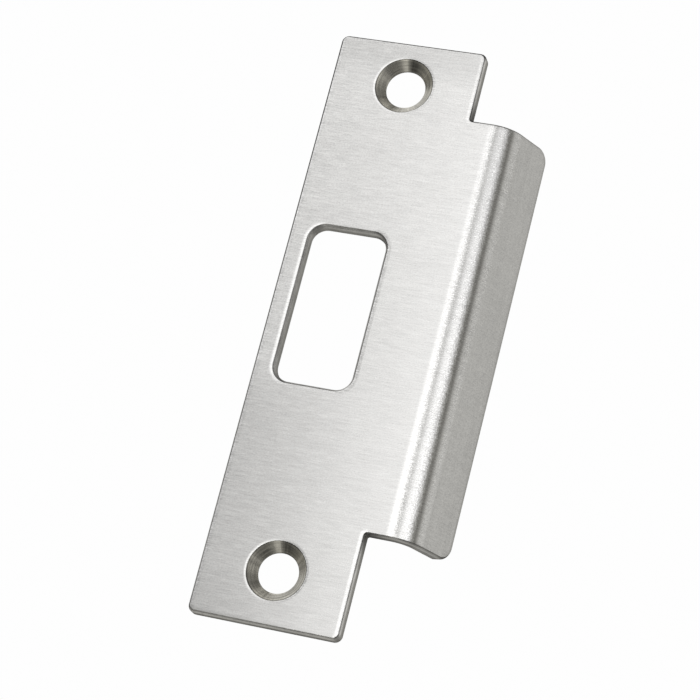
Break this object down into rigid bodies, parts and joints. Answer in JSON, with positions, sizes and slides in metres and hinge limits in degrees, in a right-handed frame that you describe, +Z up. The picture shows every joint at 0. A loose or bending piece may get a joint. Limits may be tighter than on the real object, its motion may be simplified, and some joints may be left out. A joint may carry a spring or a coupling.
{
  "type": "door strike plate",
  "caption": "Flat door strike plate with a rectangular latch hole, countersunk screw holes and a curved lip, pressed from one sheet of brushed stainless steel.",
  "frame": {"origin": "on the back face, halfway between the two screw holes", "axes": "+Z up the door frame along the plate's length, -Y out of the front face towards the door, +X towards the lip"},
  "size_m": [0.0453, 0.0124, 0.1238],
  "materials": {
    "satin_stainless": "satin, brushed across the width"
  },
  "bodies": {
    "root": {"strike_plate": "satin_stainless"}
  },
  "joints": []
}
